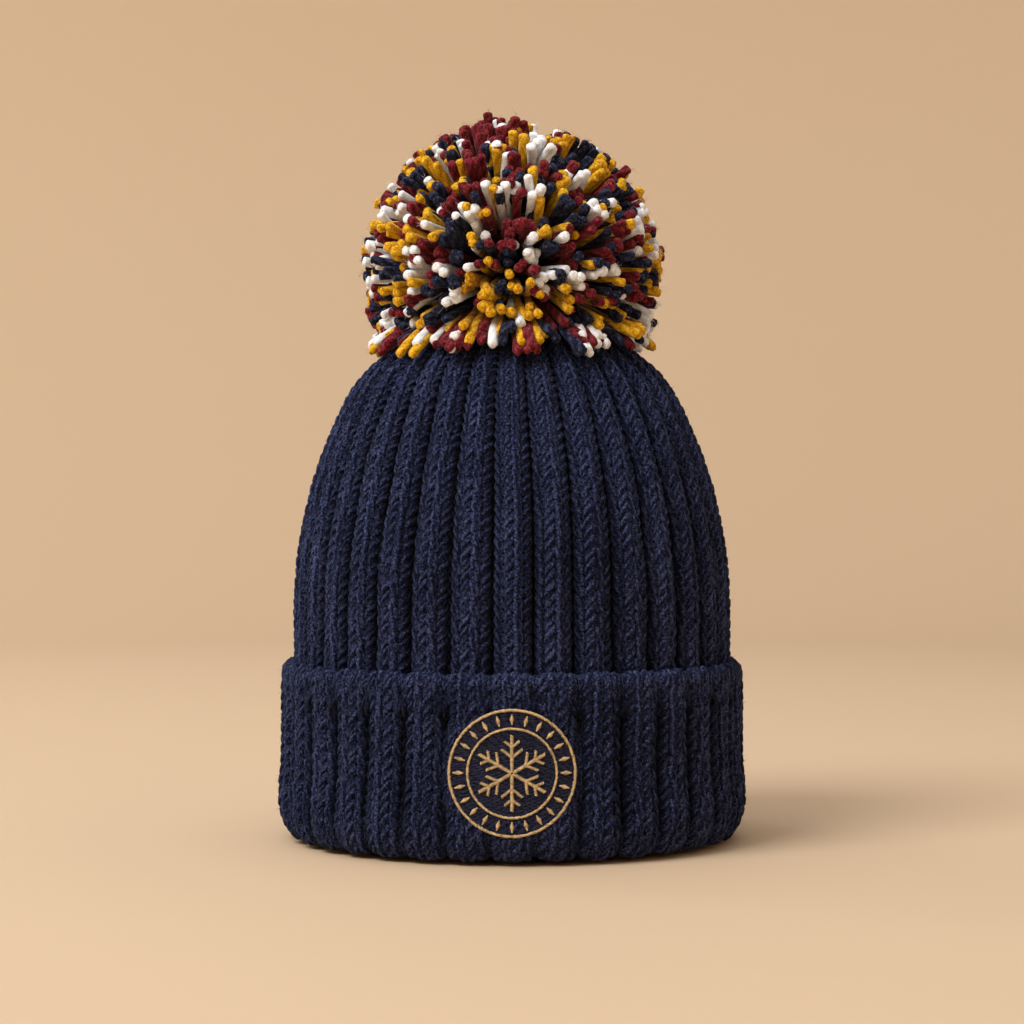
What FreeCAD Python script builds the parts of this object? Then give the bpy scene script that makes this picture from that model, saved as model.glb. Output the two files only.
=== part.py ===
"""Pom pom beanie: a double-layer rib knit hat with a turned-up cuff, a stitched round crest and a tied yarn pom.

Frame: millimetres, +Z up, the hat standing on its brim. The origin is the centre of the brim's
underside, and the crest faces -Y.
"""

import FreeCAD, Part
import math
import os

import Sketcher
from FreeCAD import Placement, Rotation, Vector

os.makedirs("parts", exist_ok=True)
doc = FreeCAD.newDocument("pom_pom_beanie")

# Driving dimensions, in millimetres and degrees.
DIMENSIONS = {
    "head_radius": 81.1,        # inner face of the lining, where the head goes
    "lining_wall": 2.6,
    "crown_wall": 3.0,
    "cuff_inner_wall": 2.4,
    "cuff_outer_wall": 2.5,
    "layer_gap": 0.3,           # air between two knitted layers
    "backing_gap": 1.0,         # room between the cuff's two layers, for the crest's backing
    "brim_height": 8.0,         # top of the fold at the bottom of the hat
    "brim_seat_width": 4.0,     # flat underside of that fold
    "lining_bottom": 10.0,
    "cuff_hem": 13.0,           # lower edge of the cuff's inner layer
    "cuff_top": 73.0,
    "side_height": 91.0,        # where the crown starts to lean in
    "side_arc": 186.0,          # radius of the crown's long side curve
    "shoulder_start": 27.0,     # slope angle at which the shoulder curve begins
    "shoulder_end": 62.0,       # and ends
    "shoulder_arc": 52.0,
    "crown_hole": 7.0,          # opening left by the gathered top stitches
    "gather_ring": 5.9,         # drawn-up yarn inside that opening
    "gather_yarn": 0.9,
    "seam_yarn": 0.8,
    "crest_height": 35.0,       # centre of the crest above the brim
    "crest_radius": 23.8,
    "crest_ground_wall": 0.8,
    "crest_thread_wall": 0.9,
    "crest_ring_width": 1.2,    # two thin rings of thread round the crest
    "crest_inner_ring": 17.0,   # outer radius of the inner one
    "mark_start": 18.2,         # short bars between the rings
    "mark_length": 3.2,
    "marks": 24,
    "crest_backing_wall": 0.4,
    "crest_backing_margin": 1.5,
    "motif_reach": 14.0,        # length of one arm of the snowflake
    "motif_bar": 1.8,
    "motif_branch": 6.0,
    "label_width": 20.0,
    "label_length": 34.0,
    "label_leaf": 0.4,
    "label_slot": 0.4,          # gap between the folded label's two leaves
    "label_top": 128.0,
    "label_wall_gap": 1.4,      # label to lining, on the centre line
    "stitch_radius": 0.35,
    "pivot_height": 212.0,      # where the pom's neck bends
    "cord_radius": 1.0,
    "cord_spread": 2.4,         # half the distance between the tie's two tails
    "neck_spread": 1.15,
    "neck_length": 4.0,
    "collar_radius": 3.9,
    "collar_yarn": 0.9,
    "button_radius": 9.0,
    "button_wall": 2.4,
    "button_hole": 1.3,
    "button_top": 202.2,
    "knot_radius": 3.8,
    "pom_centre": 230.0,
    "pom_radius": 60.0,
    "core_radius": 50.0,
    "core_bore": 5.6,           # room in the yarn for the binding cord and the neck
    "underside_slope": 8.0,     # rise of the pom's underside, so that it can tilt over the crown
    "binding_spread": 2.6,
    "binding_bottom": 216.0,
    "tuft_radius": 3.0,
    "tuft_lowest": -15.0,       # lowest direction of a solid tuft, from the pom's centre
    "tufts": 120,
}

sheet = doc.addObject("Spreadsheet::Sheet", "Dims")
for row, (alias, number) in enumerate(DIMENSIONS.items(), start=1):
    sheet.set(f"A{row}", alias)
    sheet.set(f"B{row}", str(number))
    sheet.setAlias(f"B{row}", alias)
doc.recompute()


def value(expression):
    """Number that a sheet expression gives now."""
    result = sheet.evalExpression(expression)
    return float(getattr(result, "Value", result))


def dim(alias):
    return float(sheet.get(alias))


def plus(*terms):
    return " + ".join(f"({term})" for term in terms)


def minus(first, *rest):
    return " - ".join(f"({term})" for term in (first,) + rest)


# Radii of the layers, outwards from the head. Each is an expression of sheet cells.
HEAD = "Dims.head_radius"
LINING_OUT = plus(HEAD, "Dims.lining_wall")
CROWN_IN = plus(LINING_OUT, "Dims.layer_gap")
CROWN_OUT = plus(CROWN_IN, "Dims.crown_wall")
CUFF_INNER_IN = plus(CROWN_OUT, "Dims.layer_gap")
CUFF_INNER_OUT = plus(CUFF_INNER_IN, "Dims.cuff_inner_wall")
CUFF_OUTER_IN = plus(CUFF_INNER_OUT, "Dims.backing_gap")
CUFF_OUT = plus(CUFF_OUTER_IN, "Dims.cuff_outer_wall")


# ---------------------------------------------------------------- helpers


def origin_plane(body, role):
    return next(feature for feature in body.Origin.OriginFeatures if feature.Role == role)


def arc_centre(start, end, radius, side):
    """Centre of the arc from start to end; side is 1 where the centre lies left of the travel."""
    chord = end - start
    middle = (start + end) * 0.5
    left = Vector(-chord.y, chord.x, 0).normalize()
    height = math.sqrt(max(radius**2 - (chord.Length / 2) ** 2, 0.0))
    return middle + left * side * height


def add_sketch(body, name, role, corners, arcs=None):
    """Closed outline in one of the body's own planes.

    corners are pairs of expressions. arcs gives, for a corner's number, the radius expression and
    side of the arc from that corner to the next one; every other side is a straight line.
    """
    arcs = arcs or {}
    sketch = body.newObject("Sketcher::SketchObject", name)
    sketch.AttachmentSupport = (origin_plane(body, role), [""])
    sketch.MapMode = "FlatFace"
    spots = [Vector(value(pair[0]), value(pair[1]), 0) for pair in corners]
    ends = []
    for number, start in enumerate(spots):
        end = spots[(number + 1) % len(spots)]
        if number not in arcs:
            edge = sketch.addGeometry(Part.LineSegment(start, end), False)
            ends.append((edge, 1, 2))
            continue
        radius_expression, side = arcs[number]
        radius = value(radius_expression)
        centre = arc_centre(start, end, radius, side)
        first, last = (start, end) if side > 0 else (end, start)
        turn = [math.atan2(spot.y - centre.y, spot.x - centre.x) for spot in (first, last)]
        circle = Part.Circle(centre, Vector(0, 0, 1), radius)
        edge = sketch.addGeometry(Part.ArcOfCircle(circle, turn[0], turn[1]), False)
        ends.append((edge, 1, 2) if side > 0 else (edge, 2, 1))
        bound = sketch.addConstraint(Sketcher.Constraint("Radius", edge, radius))
        sketch.setExpression(f"Constraints[{bound}]", radius_expression)
    for number, (edge, _, tail) in enumerate(ends):
        after, head, _ = ends[(number + 1) % len(ends)]
        sketch.addConstraint(Sketcher.Constraint("Coincident", edge, tail, after, head))
    for (edge, head, _), spot, pair in zip(ends, spots, corners):
        across = ("DistanceX", -2, spot.x, pair[0])
        up = ("DistanceY", -1, spot.y, pair[1])
        for kind, axis, number, expression in (across, up):
            if expression == "0":
                sketch.addConstraint(Sketcher.Constraint("PointOnObject", edge, head, axis))
                continue
            bound = sketch.addConstraint(Sketcher.Constraint(kind, -1, 1, edge, head, number))
            sketch.setExpression(f"Constraints[{bound}]", expression)
    return sketch


def new_body(name):
    return doc.addObject("PartDesign::Body", name)


def revolved(name, corners, arcs=None):
    """Ring-shaped body: an outline of (radius, height) pairs turned about Z."""
    body = new_body(name)
    sketch = add_sketch(body, f"{name}_outline", "XZ_Plane", corners, arcs)
    turn = body.newObject("PartDesign::Revolution", f"{name}_turn")
    turn.Profile = sketch
    turn.ReferenceAxis = (sketch, ["V_Axis"])
    turn.Angle = 360
    doc.recompute()
    return body


def bind(feature, **expressions):
    for name, expression in expressions.items():
        feature.setExpression(name.replace("__", "."), expression)
    return feature


def cylinder(name, radius, height, x="0", y="0", z="0"):
    piece = doc.addObject("Part::Cylinder", name)
    bind(piece, Radius=radius, Height=height)
    return bind(piece, Placement__Base__x=x, Placement__Base__y=y, Placement__Base__z=z)


def ring(name, radius, yarn, z):
    piece = doc.addObject("Part::Torus", name)
    return bind(piece, Radius1=radius, Radius2=yarn, Placement__Base__z=z)


def combined(kind, name, base, tool):
    piece = doc.addObject(kind, name)
    piece.Base = base
    piece.Tool = tool
    return piece


def grouped(name, pieces):
    group = doc.addObject("Part::Compound", name)
    group.Links = pieces
    return group


# ---------------------------------------------------------------- knitted layers


def dome(inset):
    """Corners and arcs of a crown layer's outer outline, from its side to the hole at the top.

    inset is how far the outline lies inside the crown's outer face. The three arcs share their
    tangents, and an inset keeps their centres.
    """
    start_angle = "Dims.shoulder_start * 1 deg"
    end_angle = "Dims.shoulder_end * 1 deg"
    side_centre = minus(CROWN_OUT, "Dims.side_arc")
    step = minus("Dims.side_arc", "Dims.shoulder_arc")
    shoulder_centre = (
        plus(side_centre, f"({step}) * cos({start_angle})"),
        plus("Dims.side_height", f"({step}) * sin({start_angle})"),
    )
    top_arc = plus("Dims.shoulder_arc", f"({shoulder_centre[0]}) / cos({end_angle})")
    top_centre = minus(shoulder_centre[1], f"({shoulder_centre[0]}) * tan({end_angle})")
    radii = [minus(whole, inset) for whole in ("Dims.side_arc", "Dims.shoulder_arc", top_arc)]
    corners = [
        (minus(CROWN_OUT, inset), "Dims.side_height"),
        (
            plus(side_centre, f"({radii[0]}) * cos({start_angle})"),
            plus("Dims.side_height", f"({radii[0]}) * sin({start_angle})"),
        ),
        (
            plus(shoulder_centre[0], f"({radii[1]}) * cos({end_angle})"),
            plus(shoulder_centre[1], f"({radii[1]}) * sin({end_angle})"),
        ),
        ("Dims.crown_hole", plus(top_centre, f"sqrt(({radii[2]}) ^ 2 - Dims.crown_hole ^ 2)")),
    ]
    return corners, radii


def knitted_tube(name, outer_inset, wall, bottom):
    """One layer of the crown: a straight band below and a dome above, of even thickness."""
    inner_inset = plus(outer_inset, wall)
    outside, outer_radii = dome(outer_inset)
    inside, inner_radii = dome(inner_inset)
    corners = [(minus(CROWN_OUT, outer_inset), bottom)] + outside + inside[::-1]
    corners.append((minus(CROWN_OUT, inner_inset), bottom))
    arcs = {}
    for number, radius in enumerate(outer_radii, start=1):
        arcs[number] = (radius, 1)
    for number, radius in enumerate(inner_radii[::-1], start=5):
        arcs[number] = (radius, -1)
    return revolved(name, corners, arcs)


def crown_outer():
    return knitted_tube("crown_outer", "0 * Dims.layer_gap", "Dims.crown_wall", "Dims.brim_height")


def crown_lining():
    inset = plus("Dims.crown_wall", "Dims.layer_gap")
    return knitted_tube("crown_lining", inset, "Dims.lining_wall", "Dims.lining_bottom")


def cuff_outer():
    """Outer layer of the turned-up cuff, with the soft roll along its top edge."""
    roll = f"(({CUFF_OUT}) - ({CUFF_INNER_IN})) / 2"
    roll_height = minus("Dims.cuff_top", roll)
    corners = [
        (CUFF_OUTER_IN, "Dims.brim_height"),
        (CUFF_OUT, "Dims.brim_height"),
        (CUFF_OUT, roll_height),
        (minus(CUFF_OUT, roll), "Dims.cuff_top"),
        (CUFF_INNER_IN, roll_height),
        (CUFF_OUTER_IN, roll_height),
    ]
    return revolved("cuff_outer", corners, {2: (roll, 1), 3: (roll, 1)})


def cuff_inner():
    """Layer of the cuff that lies against the crown, from its hem up to the roll."""
    roll = f"(({CUFF_OUT}) - ({CUFF_INNER_IN})) / 2"
    top = minus("Dims.cuff_top", roll)
    corners = [
        (CUFF_INNER_IN, "Dims.cuff_hem"),
        (CUFF_INNER_OUT, "Dims.cuff_hem"),
        (CUFF_INNER_OUT, top),
        (CUFF_INNER_IN, top),
    ]
    return revolved("cuff_inner", corners)


def brim_fold():
    """Fold at the bottom, where the crown's outer layer turns up into the cuff."""
    width = minus(CUFF_OUT, CROWN_IN)
    middle = plus(CROWN_IN, f"({width}) / 2")
    seat_in = minus(middle, "Dims.brim_seat_width / 2")
    seat_out = plus(middle, "Dims.brim_seat_width / 2")
    side = f"(({width}) - Dims.brim_seat_width) / 2"
    corners = [
        (seat_in, "0"),
        (seat_out, "0"),
        (CUFF_OUT, side),
        (CUFF_OUT, "Dims.brim_height"),
        (CROWN_IN, "Dims.brim_height"),
        (CROWN_IN, side),
    ]
    return revolved("brim_fold", corners, {1: (side, 1), 5: (side, 1)})


def lining_seam():
    """Linked seam of yarn that joins the lining's hem to the inside of the brim fold."""
    radius = minus(CROWN_IN, "Dims.seam_yarn", "Dims.layer_gap / 2")
    height = minus("Dims.lining_bottom", "Dims.seam_yarn", "Dims.layer_gap / 2")
    return ring("lining_seam", radius, "Dims.seam_yarn", height)


def gather_yarns():
    """Drawn-up yarns that close the top of the crown and of its lining."""
    crown_top = dome("0 * Dims.layer_gap")[0][3][1]
    lining_top = minus(crown_top, "Dims.crown_wall", "Dims.layer_gap")
    heights = {
        "crown_gather_yarn": minus(crown_top, "Dims.crown_wall / 2"),
        "lining_gather_yarn": minus(lining_top, "Dims.lining_wall / 2"),
    }
    return [ring(name, "Dims.gather_ring", "Dims.gather_yarn", height) for name, height in heights.items()]


# ---------------------------------------------------------------- crest


def curved_sheet(name, inner, wall):
    """Closed band of the cuff's curvature, from which a crest piece is cut."""
    height = "2 * (Dims.crest_radius + Dims.crest_backing_margin) + 2"
    low = minus("Dims.crest_height", "Dims.crest_radius", "Dims.crest_backing_margin", "1")
    outside = cylinder(f"{name}_outside", plus(inner, wall), height, z=low)
    inside = cylinder(f"{name}_inside", inner, height, z=low)
    return combined("Part::Cut", f"{name}_band", outside, inside)


def disc_punch(name, radius):
    """Cylinder along -Y, through the front of the cuff."""
    piece = doc.addObject("Part::Cylinder", name)
    piece.Placement = Placement(Vector(0, 0, 0), Rotation(Vector(1, 0, 0), 90))
    bind(piece, Radius=radius, Height=plus(CUFF_OUT, "10"))
    return bind(piece, Placement__Base__z="Dims.crest_height")


def crest_ground():
    sheet_band = curved_sheet("ground", CUFF_OUT, "Dims.crest_ground_wall")
    return combined("Part::Common", "crest_ground", sheet_band, disc_punch("ground_disc", "Dims.crest_radius"))


def crest_backing():
    """Stabiliser disc behind the embroidery, between the cuff's two layers."""
    inner = plus(CUFF_INNER_OUT, "Dims.layer_gap")
    band = curved_sheet("backing", inner, "Dims.crest_backing_wall")
    disc = disc_punch("backing_disc", plus("Dims.crest_radius", "Dims.crest_backing_margin"))
    return combined("Part::Common", "crest_backing", band, disc)


def bar(name, length, spin, start):
    """Box along one direction of the crest's face; start is its distance from the crest's centre."""
    piece = doc.addObject("Part::Box", name)
    bind(piece, Length=length, Width=plus(CUFF_OUT, "10"), Height="Dims.motif_bar")
    half_bar = dim("motif_bar") / 2
    turn = Rotation(Vector(0, 1, 0), spin)
    corner = turn.multVec(Vector(0, 0, -half_bar)) + start
    piece.Placement = Placement(corner + Vector(0, -value(CUFF_OUT) - 10, dim("crest_height")), turn)
    return piece


def spoke(spin):
    """Direction in the crest's face, turned by that many degrees from +X."""
    return Rotation(Vector(0, 1, 0), spin).multVec(Vector(1, 0, 0))


def crest_ring():
    """Border of raised thread: two thin rings, and short bars between them that point at the centre."""
    pieces = []
    for name, radius in (("outer", "Dims.crest_radius"), ("inner", "Dims.crest_inner_ring")):
        outside = disc_punch(f"{name}_ring_outside", radius)
        inside = disc_punch(f"{name}_ring_inside", minus(radius, "Dims.crest_ring_width"))
        pieces.append(combined("Part::Cut", f"{name}_ring", outside, inside))
    marks = int(dim("marks"))
    for number in range(marks):
        spin = number * 360 / marks
        pieces.append(bar(f"mark_{number}", "Dims.mark_length", spin, spoke(spin) * dim("mark_start")))
    border = doc.addObject("Part::MultiFuse", "border")
    border.Shapes = pieces
    band = curved_sheet("ring", plus(CUFF_OUT, "Dims.crest_ground_wall"), "Dims.crest_thread_wall")
    return combined("Part::Common", "crest_ring", band, border)


def crest_motif():
    """Six-armed snowflake of raised thread: an arm with two short branches, six times round."""
    arms = 6
    branch_angle = 60
    branch_at = 0.55 * dim("motif_reach")
    bars = []
    for number in range(arms):
        spin = 30 + number * 360 / arms
        along = spoke(spin)
        bars.append(bar(f"arm_{number}", "Dims.motif_reach", spin, Vector(0, 0, 0)))
        for side in (-1, 1):
            label = f"branch_{number}_{'left' if side < 0 else 'right'}"
            bars.append(bar(label, "Dims.motif_branch", spin + side * branch_angle, along * branch_at))
    star = doc.addObject("Part::MultiFuse", "star")
    star.Shapes = bars
    band = curved_sheet("thread", plus(CUFF_OUT, "Dims.crest_ground_wall"), "Dims.crest_thread_wall")
    return combined("Part::Common", "crest_motif", band, star)


# ---------------------------------------------------------------- label


def label_face():
    """Distance of the label's outer leaf from the hat's axis, at the hinge."""
    inset = plus("Dims.crown_wall", "Dims.layer_gap", "Dims.lining_wall")
    rise = minus("Dims.label_top", "Dims.side_height")
    arc = minus("Dims.side_arc", inset)
    wall = plus(minus(CROWN_OUT, "Dims.side_arc"), f"sqrt(({arc}) ^ 2 - ({rise}) ^ 2)")
    return minus(wall, "Dims.label_wall_gap")


def care_label():
    """Plain satin label, folded in two: the fold hangs at the bottom and the ends are sewn at the top."""
    body = new_body("care_label")
    outer = label_face()
    thickness = "(2 * Dims.label_leaf + Dims.label_slot)"
    fold = f"{thickness} / 2"
    slot = "Dims.label_slot / 2"
    bottom = minus("Dims.label_top", "Dims.label_length")
    bend = plus(bottom, fold)
    middle = minus(outer, fold)
    corners = [
        (outer, "Dims.label_top"),
        (minus(outer, "Dims.label_leaf"), "Dims.label_top"),
        (minus(outer, "Dims.label_leaf"), bend),
        (middle, minus(bend, slot)),
        (minus(middle, slot), bend),
        (minus(middle, slot), "Dims.label_top"),
        (minus(outer, thickness), "Dims.label_top"),
        (minus(outer, thickness), bend),
        (middle, bottom),
        (outer, bend),
    ]
    arcs = {2: (slot, -1), 3: (slot, -1), 7: (fold, 1), 8: (fold, 1)}
    sketch = add_sketch(body, "label_outline", "YZ_Plane", corners, arcs)
    pad = body.newObject("PartDesign::Pad", "label_pad")
    pad.Profile = sketch
    bind(pad, Length="Dims.label_width")
    bind(body, Placement__Base__x="-Dims.label_width / 2")
    doc.recompute()
    return body


def label_stitches():
    """Short thread bars from the lining to the label's sewn edge."""
    count = 5
    pitch = dim("label_width") / count
    outer = value(label_face())
    gap = dim("layer_gap")
    stitches = []
    for number in range(count):
        across = (number - (count - 1) / 2) * pitch
        stitch = doc.addObject("Part::Cylinder", f"label_stitch_{number}")
        start = Vector(across, outer + gap, dim("label_top") - dim("stitch_radius"))
        stitch.Placement = Placement(start, Rotation(Vector(1, 0, 0), -90))
        stitches.append(bind(stitch, Radius="Dims.stitch_radius", Height="Dims.label_wall_gap"))
    return grouped("label_stitches", stitches)


# ---------------------------------------------------------------- tie, button and pom


def backing_button():
    """Four-hole button under the lining's top, which spreads the pull of the tie."""
    body = new_body("backing_button")
    low = minus("Dims.button_top", "Dims.button_wall")
    rim = "Dims.button_wall / 2"
    middle = minus("Dims.button_top", rim)
    edge = minus("Dims.button_radius", rim)
    corners = [
        ("0", low),
        (edge, low),
        ("Dims.button_radius", middle),
        (edge, "Dims.button_top"),
        ("0", "Dims.button_top"),
    ]
    outline = add_sketch(body, "button_outline", "XZ_Plane", corners, {1: (rim, 1), 2: (rim, 1)})
    turn = body.newObject("PartDesign::Revolution", "button_turn")
    turn.Profile = outline
    turn.ReferenceAxis = (outline, ["V_Axis"])
    turn.Angle = 360
    doc.recompute()
    eye = body.newObject("Sketcher::SketchObject", "button_eye")
    eye.AttachmentSupport = (origin_plane(body, "XY_Plane"), [""])
    eye.MapMode = "FlatFace"
    spread = dim("cord_spread")
    circle = eye.addGeometry(Part.Circle(Vector(spread, 0, 0), Vector(0, 0, 1), dim("button_hole")), False)
    size = eye.addConstraint(Sketcher.Constraint("Radius", circle, dim("button_hole")))
    eye.setExpression(f"Constraints[{size}]", "Dims.button_hole")
    eye.addConstraint(Sketcher.Constraint("PointOnObject", circle, 3, -1))
    place = eye.addConstraint(Sketcher.Constraint("DistanceX", -1, 1, circle, 3, spread))
    eye.setExpression(f"Constraints[{place}]", "Dims.cord_spread")
    pocket = body.newObject("PartDesign::Pocket", "button_pocket")
    pocket.Profile = eye
    pocket.Type = "ThroughAll"
    pocket.Reversed = True
    doc.recompute()
    pattern = body.newObject("PartDesign::PolarPattern", "button_eyes")
    pattern.Originals = [pocket]
    pattern.Axis = (outline, ["V_Axis"])
    pattern.Angle = 360
    pattern.Occurrences = 4
    body.Tip = pattern
    doc.recompute()
    return body


def cord_pair(name, spread, bottom, length):
    pieces = []
    for side, sign in (("left", "-"), ("right", "")):
        pieces.append(cylinder(f"{name}_{side}", "Dims.cord_radius", length, x=f"{sign}{spread}", z=bottom))
    return pieces


def tie_tails():
    """The tie's two tails, down through the crown and the button to the knot."""
    bottom = minus("Dims.button_top", "Dims.button_wall", "Dims.cord_radius")
    top = minus("Dims.pivot_height", "Dims.neck_length / 2", "Dims.layer_gap")
    return grouped("tie_tails", cord_pair("tail", "Dims.cord_spread", bottom, minus(top, bottom)))


def tie_knot():
    """Flattened knot that stops the tails under the button."""
    knot = doc.addObject("Part::Ellipsoid", "tie_knot")
    bind(knot, Radius1="Dims.knot_radius * 0.8", Radius2="Dims.knot_radius")
    centre = minus("Dims.button_top", "Dims.button_wall", "Dims.knot_radius * 0.8", "Dims.layer_gap")
    return bind(knot, Placement__Base__z=centre)


def tie_neck():
    """Stretch of the tie between crown and pom, where it bends forwards and back."""
    bottom = minus("Dims.pivot_height", "Dims.neck_length / 2")
    return grouped("tie_neck", cord_pair("neck", "Dims.neck_spread", bottom, "Dims.neck_length"))


def tie_collar():
    """Wrap of cord round the neck, which carries the pom sideways."""
    return ring("tie_collar", "Dims.collar_radius", "Dims.collar_yarn", "Dims.pivot_height")


def pom_binding():
    """Loop of the tie that binds the strands at the middle of the pom."""
    height = minus("Dims.pom_centre", "Dims.binding_bottom")
    legs = cord_pair("binding", "Dims.binding_spread", "Dims.binding_bottom", height)
    loop = doc.addObject("Part::Torus", "binding_loop")
    loop.Placement = Placement(Vector(0, 0, 0), Rotation(Vector(1, 0, 0), 90))
    bind(loop, Radius1="Dims.binding_spread", Radius2="Dims.cord_radius", Placement__Base__z="Dims.pom_centre")
    loop.Angle3 = 180
    binding = doc.addObject("Part::MultiFuse", "pom_binding")
    binding.Shapes = legs + [loop]
    return binding


def pom_core():
    """Packed middle of the pom's yarn, hollowed below so that it can tilt over the crown."""
    slope = "tan(Dims.underside_slope * 1 deg)"
    radius = "Dims.core_radius"
    drop = minus("Dims.pom_centre", "Dims.pivot_height")
    # The underside is a cone from the neck's pivot; it meets the ball at the radius found here.
    square = f"(1 + ({slope}) ^ 2)"
    half = f"(({slope}) * ({drop}))"
    edge = f"(({half}) + sqrt(({half}) ^ 2 - {square} * (({drop}) ^ 2 - ({radius}) ^ 2))) / {square}"
    bore_top = plus("Dims.pom_centre", "Dims.binding_spread", "Dims.cord_radius", "Dims.layer_gap")
    corners = [
        ("Dims.core_bore", plus("Dims.pivot_height", f"Dims.core_bore * ({slope})")),
        (edge, plus("Dims.pivot_height", f"({edge}) * ({slope})")),
        ("0", plus("Dims.pom_centre", radius)),
        ("0", bore_top),
        ("Dims.core_bore", bore_top),
    ]
    return revolved("pom_core", corners, {1: (radius, 1)})


def tuft_shape():
    """One clump of strand ends along +X, from inside the core's surface to the pom's outline."""
    radius = dim("tuft_radius")
    start = dim("core_radius") - 1.0
    reach = dim("pom_radius") - radius
    stem = Part.makeCylinder(radius, reach - start, Vector(start, 0, 0), Vector(1, 0, 0))
    return stem.fuse(Part.makeSphere(radius, Vector(reach, 0, 0))).removeSplitter()


def pom_strands():
    """Clumps of strand ends all round the pom, in four nodes, one for each colour of yarn."""
    colours = ("navy", "burgundy", "gold", "white")
    golden_turn = 180 * (3 - math.sqrt(5))
    count = int(dim("tufts"))
    lowest = math.sin(math.radians(dim("tuft_lowest")))
    clump = tuft_shape()
    clumps = {colour: [] for colour in colours}
    for number in range(count):
        level = lowest + (1 - lowest) * (number + 0.5) / count
        tilt = Rotation(Vector(0, 1, 0), -math.degrees(math.asin(level)))
        spin = Rotation(Vector(0, 0, 1), number * golden_turn)
        copy = clump.copy()
        copy.Placement = Placement(Vector(0, 0, dim("pom_centre")), spin * tilt)
        clumps[colours[number % len(colours)]].append(copy)
    nodes = []
    for colour in colours:
        node = doc.addObject("Part::Feature", f"pom_strands_{colour}")
        node.Shape = Part.makeCompound(clumps[colour])
        nodes.append(node)
    return nodes


# ---------------------------------------------------------------- build, check and write


def build_nodes():
    nodes = [crown_outer(), crown_lining(), cuff_outer(), cuff_inner(), brim_fold(), lining_seam()]
    nodes += gather_yarns()
    nodes += [crest_ground(), crest_ring(), crest_motif(), crest_backing()]
    nodes += [care_label(), label_stitches()]
    nodes += [backing_button(), tie_tails(), tie_knot(), tie_neck(), tie_collar()]
    nodes += [pom_binding(), pom_core()]
    return nodes + pom_strands()


def check(nodes):
    for item in doc.Objects:
        if "Invalid" in item.State or "Error" in item.State:
            raise RuntimeError(f"{item.Name} failed: {item.State}")
    for node in nodes:
        if node.Shape.isNull() or not node.Shape.isValid() or not node.Shape.Solids:
            raise RuntimeError(f"{node.Label} has no valid solid")


nodes = build_nodes()
doc.recompute()
check(nodes)
for node in nodes:
    node.Shape.exportStep(f"parts/{node.Label}.step")
    box = node.Shape.BoundBox
    solids = len(node.Shape.Solids)
    print(f"{node.Label}: {solids} solids, {node.Shape.Volume:.0f} mm3, z {box.ZMin:.1f} to {box.ZMax:.1f}")
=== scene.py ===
"""Pom pom beanie: every stitch, strand and thread as real yarn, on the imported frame.

Positions and sizes are worked out in millimetres, and every mesh is written in metres.
"""

import bpy
import math
import numpy as np
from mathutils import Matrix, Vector


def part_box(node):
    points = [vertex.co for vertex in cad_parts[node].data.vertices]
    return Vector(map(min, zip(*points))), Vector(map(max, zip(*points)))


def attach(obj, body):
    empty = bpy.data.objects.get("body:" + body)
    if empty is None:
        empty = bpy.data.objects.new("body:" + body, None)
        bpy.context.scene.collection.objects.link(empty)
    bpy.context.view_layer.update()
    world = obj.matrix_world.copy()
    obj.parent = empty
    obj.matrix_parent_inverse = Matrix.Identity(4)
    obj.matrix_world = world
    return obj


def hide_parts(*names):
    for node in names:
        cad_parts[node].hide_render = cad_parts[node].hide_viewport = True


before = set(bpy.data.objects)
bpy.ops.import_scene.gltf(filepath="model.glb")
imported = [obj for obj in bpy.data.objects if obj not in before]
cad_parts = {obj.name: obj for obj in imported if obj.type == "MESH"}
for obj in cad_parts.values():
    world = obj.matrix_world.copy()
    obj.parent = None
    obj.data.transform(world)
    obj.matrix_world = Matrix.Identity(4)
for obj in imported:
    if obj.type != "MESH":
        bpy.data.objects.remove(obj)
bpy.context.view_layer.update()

MM = 0.001
TAU = 2 * math.pi
FRONT = -math.pi / 2  # angle of the -Y direction, where the crest is


def high(node):
    """Highest corner of a CAD node, in millimetres."""
    return np.array(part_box(node)[1]) / MM


def low(node):
    """Its lowest corner."""
    return np.array(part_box(node)[0]) / MM


def middle(node):
    """Middle of its box."""
    return (low(node) + high(node)) / 2


# -------- the hat's sizes, in millimetres

CROWN_RADIUS = high("crown_outer")[0]
CUFF_RADIUS = high("cuff_outer")[0]
CUFF_TOP = high("cuff_outer")[2]
LINING_RADIUS = high("crown_lining")[0]
POM_TOP = high("pom_strands_white")[2]
SIDE_HEIGHT = 91.0  # where the crown starts to lean in
SIDE_ARC = 186.0  # radii of its side and shoulder curves, and the slopes where the curves meet
SHOULDER_ARC = 52.0
SHOULDER_START = math.radians(27)
SHOULDER_END = math.radians(62)

RIBS = 34
COURSE = 4.2  # height of one row of stitches
YARN = 1.5  # radius of the knitting yarn
PLIES = 3
TWIST = 0.05  # turns of its plies in a millimetre
HAIR = 0.05  # radius of a loose fibre at its root, and how it thins out
HAIR_TAPER = np.array([1.0, 0.9, 0.7, 0.35])
KNIT_HAIR = 2.3  # longest loose fibres of the knit and of the pom
POM_HAIR = 2.4
BAND = 6  # rows of stitches in one piece
ROUNDING = 3.0  # how square a rib is: its edges fall off with this power

POM_RADIUS = 60.0
POM_CENTRE = np.array([0.0, 0.0, POM_TOP - POM_RADIUS - 1.2])
STRAND = 1.85  # radius of a pom strand

TILT = 0.15  # how far a point under the pom sinks at both tilt limits, for each unit from its axis
CORE_RADIUS = 34.0  # packed middle of the pom, as seen between the strands
MOTIF_REACH = 13.8  # arm of the crest's snowflake
INNER_RING = 16.4  # middle of the crest's inner ring
MARKS = 24  # lozenges between its two rings

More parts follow.
